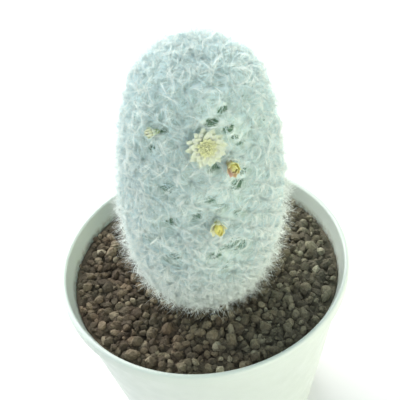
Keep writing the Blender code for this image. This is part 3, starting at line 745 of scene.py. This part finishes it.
def makeBuds():
    makeBud("yellow", "yellow_bud", "yellow_petals", 1.0, 22, flowers["brightYellow"])
    makeBud("pale", "pale_bud", "pale_yellow_petals", 0.80, 14, flowers["paleYellow"])


# Wool: strands combed out of every areole, over the skin


wool = {
    "thick": 0.000045, "soilClear": 0.0013, "seatSpread": 0.0010, "sameSense": 0.75,
    "stir": 0.00042, "stirPitch": (0.0040, 0.0090), "stirWaves": 7, "bearingSpread": 0.35,
    "curlFrom": 0.2, "shortestTip": 0.25, "taper": (1.1, 0.7), "thickRange": (0.75, 1.25),
    "rays": {"each": 20, "strands": 2, "length": 0.0082, "spread": 0.0024, "peak": 0.0009, "tip": 0.0010,
             "rough": 0.35, "skew": 1, "hug": 0.45, "crown": 1.9, "curl": 260, "fall": 0.10, "knots": 4,
             "thick": 1.0, "loose": 0.0005},
    "down": {"each": 12, "strands": 1, "length": 0.0046, "spread": 0.0012, "peak": 0.0005, "tip": 0.0003,
             "rough": 0.3, "skew": 1, "hug": 1.0, "crown": 1.0, "curl": 120, "fall": 0.0, "knots": 3,
             "thick": 1.9, "loose": 0.0003},
    "locks": {"each": 3, "strands": 6, "length": 0.0092, "spread": 0.0028, "peak": 0.0015, "tip": 0.0012,
              "rough": 0.35, "skew": 1, "hug": 0.4, "crown": 1.3, "curl": 330, "fall": 0.10, "knots": 4,
              "thick": 0.8, "loose": 0.0004},
    "ends": {"each": 21, "strands": 1, "length": 0.0040, "spread": 0.0024, "peak": 0.0006, "tip": 0.0088,
             "rough": 0.32, "skew": 1.7, "hug": 0.7, "crown": 0.45, "curl": 300, "fall": 0.12, "knots": 4,
             "thick": 0.6, "loose": 0.0004},
    "spikes": {"each": 4, "strands": 5, "length": 0.0042, "spread": 0.0014, "peak": 0.0010, "tip": 0.0058,
               "rough": 0.3, "skew": 1, "hug": 0.6, "crown": 0.0, "curl": 160, "fall": 0.45, "knots": 4,
               "thick": 0.8, "loose": 0.0003, "from": 0.45},
    "straight": {"each": 4, "strands": 1, "length": 0.0030, "spread": 0.0012, "peak": 0.0, "tip": 0.0094,
                 "rough": 0.2, "skew": 0.8, "hug": 0.6, "crown": 0.0, "curl": 120, "fall": 0.12, "knots": 3,
                 "thick": 1.1, "loose": 0.0002},
    # painted shade and painted light: the coat's wool is darker and bluer, for a shaded middle, and the
    # fringe's whiter, for lit edges
    "shadedCoat": {"bands": 4, "white": (0.65, 0.825, 0.84), "shade": (0.58, 0.765, 0.775)},
    "litFringe": {"bands": 3, "white": (0.95, 0.995, 0.93), "shade": (0.88, 0.965, 0.90)},
    "hairs": {"bands": 1, "white": (0.67, 0.72, 0.65), "shade": (0.60, 0.65, 0.58)},
    # painted light: the low colour is a whiter wool, full below the first of these levels and gone above the
    # second
    "low": (0.93, 0.995, 0.94), "paintedLightLevels": (0.084, 0.108), "patch": (0.94, 0.96, 0.96),
}


def combStrands(root, way, length, curl, peak, tip, kind, seats):
    # centre lines that step along the tubercles, turn by curl, hang by fall and arch to their height
    lines, point, knots = [root], root, kind["knots"]
    step = length / (knots - 1)
    for knot in range(1, knots):
        normal, _ = skinAt(point)
        way = way - np.array([0, 0, kind["fall"]])
        way = unit(way - normal * (way * normal).sum(1, keepdims=True))
        turn = (curl * step)[:, None]
        way = way * np.cos(turn) + np.cross(normal, way) * np.sin(turn)
        point = point + way * step[:, None]
        normal, over = skinAt(point)
        share = knot / (knots - 1)
        away = np.clip(nearestDistance(point, seats) / plant["tubercleReach"], 0, 1)
        sunk = kind["hug"] * plant["tubercleRise"] * (1 - np.cos(away * math.pi / 2))
        height = 4 * peak * share * (1 - share) + tip * share - sunk
        point = point + normal * (height - over)[:, None]
        lines.append(point)
    return np.stack(lines, 1)


def woolLines(kind, seats, normals, rng):
    # all the strands of one kind, as (strand, knot, xyz) in the plant's frame, and the areole of each
    each, strands, knots = kind["each"], kind["strands"], kind["knots"]
    count, spread = len(seats) * each, wool["bearingSpread"]
    root, normal = np.repeat(seats, each, 0), np.repeat(normals, each, 0)
    side = unit(np.cross(normal, np.array([0.01, 0.02, 1.0])))
    ahead = np.cross(normal, side)
    bearing = np.tile(np.arange(each), len(seats)) * math.tau / each
    bearing += np.repeat(rng.uniform(0, math.tau, len(seats)), each) + rng.uniform(-spread, spread, count)
    way = side * np.cos(bearing)[:, None] + ahead * np.sin(bearing)[:, None]
    root = root - way * (wool["seatSpread"] * rng.random(count))[:, None]
    length = kind["length"] + kind["spread"] * rng.uniform(-1, 1, count)
    vary = 1 + kind["rough"] * rng.normal(0, 1, count).clip(-2, 2)
    lift = 1 + kind["crown"] * normal[:, 2].clip(0, 1)
    sense = np.repeat(rng.choice((-1, 1), len(seats)), each)  # most strands of an areole curl one way
    sense *= rng.choice((-1, 1), count, p=(1 - wool["sameSense"], wool["sameSense"]))
    curl = kind["curl"] * rng.uniform(wool["curlFrom"], 1, count) * sense
    shortest = wool["shortestTip"]
    tip = kind["tip"] * (shortest + (1 - shortest) * rng.random(count) ** kind["skew"]) * lift
    lines = combStrands(root, way, length, curl, kind["peak"] * vary * lift, tip, kind, seats)
    lines = np.repeat(lines, strands, 0)  # a lock's strands part most near its middle
    swell = 0.25 + np.sin(np.linspace(0, 1, knots) * math.pi * 0.8)
    apart = rng.normal(0, 0.5, (len(lines), 1, 3)) + rng.normal(0, 0.25, (len(lines), knots, 3))
    lines += apart * kind["loose"] * swell[None, :, None]
    return lines, np.repeat(np.arange(len(seats)), each * strands)


def stirred(lines):
    # the same gentle pushes for every strand, which draw the wool into tufts and open small gaps
    rng = np.random.default_rng(9)
    shift = np.zeros_like(lines)
    for _ in range(wool["stirWaves"]):
        wave = unit(rng.normal(0, 1, 3)) * math.tau / rng.uniform(*wool["stirPitch"])
        shift += np.sin(lines @ wave + rng.uniform(0, math.tau))[..., None] * unit(rng.normal(0, 1, 3))
    return lines + wool["stir"] * shift


def clearOfThinSpots(lines, rng):
    # keeps the strands that don't cross a thin spot or stand over it, and a few that do
    steps = [lines[:, :-1] + share * (lines[:, 1:] - lines[:, :-1]) for share in (0, 0.25, 0.5, 0.75)]
    along = np.concatenate([*steps, lines[:, -1:]], 1).reshape(-1, 3)
    normal, over = skinAt(along)
    over = over.clip(0, None)[:, None]
    seen = along - normal * over - np.array([0, 0, plant["thinRise"]]) * over
    near = thinness(seen).reshape(len(lines), -1).min(1)
    share = plant["thinSlope"] * near - plant["thinStart"]
    return rng.random(len(lines)) < np.clip(share, plant["thinFewest"], 1)


def clearOfFlowers(lines):
    # keeps the strands that don't cross a flower's own space
    kept = np.ones(len(lines), bool)
    for kind, seat in seatOf.items():
        local = (lines - np.array(seat)[:3, 3]) @ np.array(seat)[:3, :3]
        away = np.hypot(local[:, :, 0], local[:, :, 1])
        kept &= ~((away < flowers[kind]["clear"]) & (local[:, :, 2] > flowers[kind]["clearFrom"])).any(1)
    return kept


def strandMesh(name, lines, radius):
    # three-sided strands, pointed at both ends: poly curves with a triangle swept along them
    section = bpy.data.curves.new("section", "CURVE")
    ring = section.splines.new("POLY")
    ring.points.add(2)
    for index, point in enumerate(ring.points):
        point.co = (math.cos(math.tau * index / 3), -math.sin(math.tau * index / 3), 0, 1)
    ring.use_cyclic_u = True
    sweep = bpy.data.objects.new("section", section)
    curve = bpy.data.curves.new(name, "CURVE")
    curve.dimensions, curve.bevel_mode, curve.bevel_object = "3D", "OBJECT", sweep
    for line, thick in zip(lines, radius):
        spline = curve.splines.new("POLY")
        spline.points.add(len(line) - 1)
        places = np.append(line, np.ones((len(line), 1)), 1).astype(np.float32)
        spline.points.foreach_set("co", places.ravel())
        spline.points.foreach_set("radius", thick.astype(np.float32))
    strands = bpy.data.objects.new(name, curve)
    for helper in (sweep, strands):
        bpy.context.scene.collection.objects.link(helper)
    bpy.context.view_layer.update()
    loose = bpy.data.meshes.new_from_object(strands.evaluated_get(bpy.context.evaluated_depsgraph_get()))
    for helper in (sweep, strands):
        bpy.data.objects.remove(helper, do_unlink=True)
    bm = bmesh.new()
    bm.from_mesh(loose)
    bmesh.ops.remove_doubles(bm, verts=bm.verts, dist=1e-7)  # closes each strand's two points
    bpy.data.meshes.remove(loose)
    return meshFrom(name, bm)


def woolMaterial(name, values):
    # painted shade: a little darker at the root than at the tip, by the UV map's first value, which runs
    # along each strand; painted light: whiter low on the plant
    material, tree, shader, place = newMaterial(name, 0.75, Subsurface_Weight=0.6, Subsurface_Scale=1.0)
    shader.inputs["Subsurface Radius"].default_value = (0.00015, 0.00015, 0.00015)
    along = splitNode(tree, tree.nodes.new("ShaderNodeUVMap").outputs[0])["X"]
    # painted shade at each strand's root
    colour = mixNode(tree, mapNode(tree, along, 0.0, 0.35), (*values["shade"], 1), (*values["white"], 1))
    full, none = wool["paintedLightLevels"]
    # painted light low on the plant
    paintedLowLight = mapNode(tree, splitNode(tree, place)["Z"], none, full)
    colour = mixNode(tree, paintedLowLight, colour, (*wool["low"], 1))
    soft = driftColour(tree, place, (1.0, 1.0, 1.0), wool["patch"], 260, 0.3)
    tree.links.new(mixNode(tree, 1.0, colour, soft, "MULTIPLY"), shader.inputs["Base Color"])
    return material


def makeWoolPart(part, kinds, rng):
    # the strands of these kinds, in bands of areoles from the crown down, one piece a band
    seats, normals = areolePlaces(plant["areoles"])
    bands = [[] for _ in range(wool[part]["bands"])]
    for name in kinds:
        kind = wool[name]
        first = int(kind.get("from", 0) * plant["areoles"])
        lines, areoles = woolLines(kind, seats[first:], normals[first:], rng)
        areoles += first
        lines = stirred(lines)
        kept = clearOfThinSpots(lines, rng)
        lines = toWorld(lines)
        lines[:, :, 2] = np.maximum(lines[:, :, 2], pot["soilLevel"] + wool["soilClear"])
        kept &= clearOfFlowers(lines)
        taper = np.linspace(*wool["taper"], kind["knots"])
        taper[[0, -1]] = 1e-5  # the two points
        thick = wool["thick"] * kind["thick"] * rng.uniform(*wool["thickRange"], len(lines))
        radii = np.outer(thick, taper)
        for line, radius, areole in zip(lines[kept], radii[kept], areoles[kept]):
            bands[areole * len(bands) // plant["areoles"]].append((line, radius))
    material = woolMaterial(part + "Wool", wool[part])
    for index, strands in enumerate(bands):
        mesh = strandMesh(f"wool_{part}_{index + 1}", *zip(*strands))
        addPiece(mesh, material, "woolly_stem", "cactus")


def makeWool():
    rng = np.random.default_rng(7)
    makeWoolPart("shadedCoat", ("down", "rays"), rng)
    makeWoolPart("litFringe", ("locks", "ends", "spikes"), rng)
    makeWoolPart("hairs", ("straight",), rng)


# Gravel: the bed with the stem's hole, and grains on it


gravel = {
    "level": 0.077, "bedDepth": 0.002, "bedMargin": 0.002, "bedTone": 0.12, "lumpScale": 700, "lump": 0.0004,
    "variants": 14, "bumps": ((0.38, 0.9), (0.16, 2.3)), "cuts": 7, "cutAt": (0.55, 0.85), "cutFlat": 0.95,
    "sharpAbove": 28, "rowPitch": 0.866, "jitter": 0.3, "stretch": (0.68, 1.25), "darker": 1.6,
    "sizes": (0.75, 0.95, 1.1, 1.45), "sizeShares": (0.3, 0.3, 0.25, 0.15),
    "wallClear": (1.25, 0.0003), "stemClear": 1.2,  # in grain sizes, and a distance
    "coarse": {"spacing": 0.0031, "size": 0.0016, "lift": 0.0004, "liftSpread": 0.0005},
    "upper": {"spacing": 0.0046, "size": 0.0018, "lift": 0.0013, "liftSpread": 0.0005},
    "chips": {"spacing": 0.0062, "size": 0.0010, "lift": 0.0021, "liftSpread": 0.0005},
    "tones": [(0.0, (0.080, 0.064, 0.046)), (0.4, (0.130, 0.104, 0.073)), (0.75, (0.20, 0.165, 0.118)),
              (0.92, (0.26, 0.225, 0.17)), (1.0, (0.37, 0.325, 0.255))],
    "rusty": (0.98, 0.82, 0.69), "lighterGreenRight": (1.62, 1.86, 1.72), "dark": (0.66, 0.64, 0.62),
}


def gravelMaterial(name):
    # each grain's own tone, rusty on the left and lighter and greener on the right, with darker patches and
    # pores
    material, tree, shader, place = newMaterial(name, 0.92)
    colour = rampNode(tree, attributeNode(tree, "grainTone"), gravel["tones"])
    rightward = mapNode(tree, splitNode(tree, place)["X"], -0.015, 0.045, 0.0, 0.6)
    # lighter and greener towards the right, in patches
    lighterGreenRight = mathNode(tree, "MULTIPLY_ADD", driftMask(tree, place, 75, 0.4), 0.4, rightward)
    areas = mixNode(tree, lighterGreenRight, (*gravel["rusty"], 1), (*gravel["lighterGreenRight"], 1))
    colour = mixNode(tree, 1.0, colour, areas, "MULTIPLY")
    dark = driftColour(tree, place, (1.0, 1.0, 1.0), gravel["dark"], 900, 0.5)
    tree.links.new(mixNode(tree, 1.0, colour, dark, "MULTIPLY"), shader.inputs["Base Color"])
    pittedRelief(tree, shader, place, 1800, 0.8, 0.00025)
    return material


def facesUp(face):
    return face.normal.z > 0.2


def makeGravelBed(material):
    # the frame's own filling, merged, with its top split finer and roughened
    bm = bmesh.new()
    bm.from_mesh(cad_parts["soil"].data)
    bmesh.ops.remove_doubles(bm, verts=bm.verts, dist=1e-6)
    low = gravel["level"] - gravel["bedDepth"]
    top = [face for face in bm.faces if facesUp(face) and face.calc_center_median().z > low]
    edges = list(dict.fromkeys(edge for face in top for edge in face.edges))
    bmesh.ops.subdivide_edges(bm, edges=edges, cuts=1, use_grid_fill=True)
    inside = wallInside(gravel["level"]) - gravel["bedMargin"]
    for vert in bm.verts:
        if vert.co.z > low and vert.co.xy.length < inside and all(facesUp(face) for face in vert.link_faces):
            vert.co.z += gravel["lump"] * noise.noise(vert.co * gravel["lumpScale"])
    tone = bm.verts.layers.float.new("grainTone")
    for vert in bm.verts:
        vert[tone] = gravel["bedTone"]
    bmesh.ops.triangulate(bm, faces=[face for face in bm.faces if len(face.verts) > 4])
    addPiece(meshFrom("gravel_bed", bm, smooth=False), material, "gravel_soil", "soil")


def grainMesh(seed):
    # a broken lump: an icosphere pushed by noise and dressed flat on a few sides
    rng = np.random.default_rng(100 + seed)
    bm = bmesh.new()
    bmesh.ops.create_icosphere(bm, subdivisions=2, radius=1)
    shift = Vector(rng.uniform(-50, 50, 3))
    (large, wide), (small, narrow) = gravel["bumps"]  # heights and pitches
    for vert in bm.verts:
        at = vert.co
        vert.co *= 1 + large * noise.noise(at * wide + shift) + small * noise.noise(at * narrow + shift)
    for _ in range(gravel["cuts"]):
        side = Vector(unit(rng.normal(0, 1, 3)))
        cut = rng.uniform(*gravel["cutAt"])
        for vert in bm.verts:
            vert.co -= side * max(vert.co.dot(side) - cut, 0) * gravel["cutFlat"]
    return meshFrom(f"grain{seed}", bm)


def gridPoints(spacing):
    # a triangular grid over the pot's mouth
    rows = int(pot["rimRadius"] / (spacing * gravel["rowPitch"])) + 1
    for row in range(-rows, rows + 1):
        for column in range(-rows - 1, rows + 2):
            yield (column + 0.5 * (row % 2)) * spacing, row * spacing * gravel["rowPitch"]


def addGrain(bm, shape, matrix, shade):
    start = len(bm.verts)
    bm.from_mesh(shape)
    bm.verts.ensure_lookup_table()
    made = bm.verts[start:]
    bmesh.ops.transform(bm, matrix=matrix, verts=made)
    tone = bm.verts.layers.float["grainTone"]
    for vert in made:
        vert[tone] = shade


def makeGrains(material):
    # every draw is made before a grain that would touch the wall or the stem is left out
    rng, jitter = np.random.default_rng(8), gravel["jitter"]
    shapes = [grainMesh(seed) for seed in range(gravel["variants"])]
    bm = bmesh.new()
    bm.verts.layers.float.new("grainTone")
    stem = Vector(plant["foot"]).xy
    wallSizes, wallGap = gravel["wallClear"]
    for values in (gravel["coarse"], gravel["upper"], gravel["chips"]):
        spacing = values["spacing"]
        for x, y in gridPoints(spacing):
            x, y = x + rng.uniform(-jitter, jitter) * spacing, y + rng.uniform(-jitter, jitter) * spacing
            size = values["size"] * rng.choice(gravel["sizes"], p=gravel["sizeShares"])
            z = gravel["level"] + values["lift"] + values["liftSpread"] * rng.uniform(-1, 1)
            place = Vector((x, y, z))
            shape, turn = shapes[rng.integers(len(shapes))], Quaternion(unit(rng.normal(0, 1, 4)))
            stretch = Matrix.Diagonal((*rng.uniform(*gravel["stretch"], 3), 1))
            shade = rng.random() ** gravel["darker"]
            if place.xy.length > wallInside(place.z) - wallSizes * size - wallGap:
                continue
            if (place.xy - stem).length < plant["neckRadius"] + gravel["stemClear"] * size:
                continue
            shaped = turn.to_matrix().to_4x4() @ stretch @ Matrix.Scale(size, 4)
            addGrain(bm, shape, Matrix.Translation(place) @ shaped, shade)
    for shape in shapes:
        bpy.data.meshes.remove(shape)
    mesh = meshFrom("gravel_grains", bm)
    mesh.set_sharp_from_angle(angle=math.radians(gravel["sharpAbove"]))
    addPiece(mesh, material, "gravel_soil", "soil")


# Stage, light and camera


stage = {
    "floorRadius": 4.0, "floorWhite": (0.78, 0.745, 0.735), "floorShade": (0.77, 0.736, 0.725),
    "skyColour": (0.735, 0.90, 1.015), "sky": 0.80, "lightsAim": (0, 0, 0.1),
    "lights": [
        {"name": "windowLight", "place": (-0.38, 0.82, 0.80), "size": 0.9, "power": 18.5,
         "colour": (1, 0.99, 0.96)},
        {"name": "lowLight", "place": (0.50, -0.80, 0.12), "size": 0.7, "power": 9.2,
         "colour": (1, 0.985, 0.76)},
        {"name": "leftLight", "place": (-0.80, 0.32, 0.16), "size": 0.7, "power": 5.4,
         "colour": (0.97, 1, 0.88)},
        {"name": "rightLight", "place": (0.82, 0.24, 0.16), "size": 0.7, "power": 4.2,
         "colour": (1, 1, 0.68)},
    ],
    "camera": (0.0, -0.2115, 0.3090), "lookAt": (0.0018, 0.0, 0.1144), "roll": -8.06, "lens": 72.3,
}


def makeStage():
    bm = bmesh.new()
    bmesh.ops.create_circle(bm, cap_ends=True, segments=96, radius=stage["floorRadius"])
    floor = bpy.data.objects.new("paleFloor", meshFrom("paleFloor", bm, smooth=False))
    bpy.context.scene.collection.objects.link(floor)
    material, tree, shader, place = newMaterial("palePaper", 0.7)
    colour = driftColour(tree, place, stage["floorWhite"], stage["floorShade"], 3)
    tree.links.new(colour, shader.inputs["Base Color"])
    floor.data.materials.append(material)
    world = bpy.data.worlds.new("studio")
    bpy.context.scene.world = world
    world.use_nodes = True
    sky = world.node_tree.nodes["Background"]
    sky.inputs["Color"].default_value = (*stage["skyColour"], 1)
    sky.inputs["Strength"].default_value = stage["sky"]
    for values in stage["lights"]:
        light = bpy.data.lights.new(values["name"], "AREA")
        light.size, light.energy, light.color = values["size"], values["power"], values["colour"]
        lamp = bpy.data.objects.new(values["name"], light)
        lamp.location = values["place"]
        aim = Vector(stage["lightsAim"]) - lamp.location
        lamp.rotation_euler = aim.to_track_quat("-Z", "Y").to_euler()
        bpy.context.scene.collection.objects.link(lamp)


def makeCamera():
    lens = bpy.data.cameras.new("camera")
    lens.sensor_width, lens.lens, lens.clip_start = 36, stage["lens"], 0.01
    camera = bpy.data.objects.new("camera", lens)
    camera.location = stage["camera"]
    aim = Vector(stage["lookAt"]) - camera.location
    camera.rotation_mode = "QUATERNION"
    roll = Quaternion((0, 0, 1), math.radians(stage["roll"]))
    camera.rotation_quaternion = aim.to_track_quat("-Z", "Y") @ roll
    bpy.context.scene.collection.objects.link(camera)
    bpy.context.scene.camera = camera
    bpy.context.scene.view_settings.view_transform = "Standard"


makePot()
gravelLook = gravelMaterial("gravel")
makeGravelBed(gravelLook)
makeGrains(gravelLook)
makeStem()
makeOpenFlower()
makeStamens()
makeHalfOpenFlower()
makeBuds()
makeWool()
makeStage()
makeCamera()
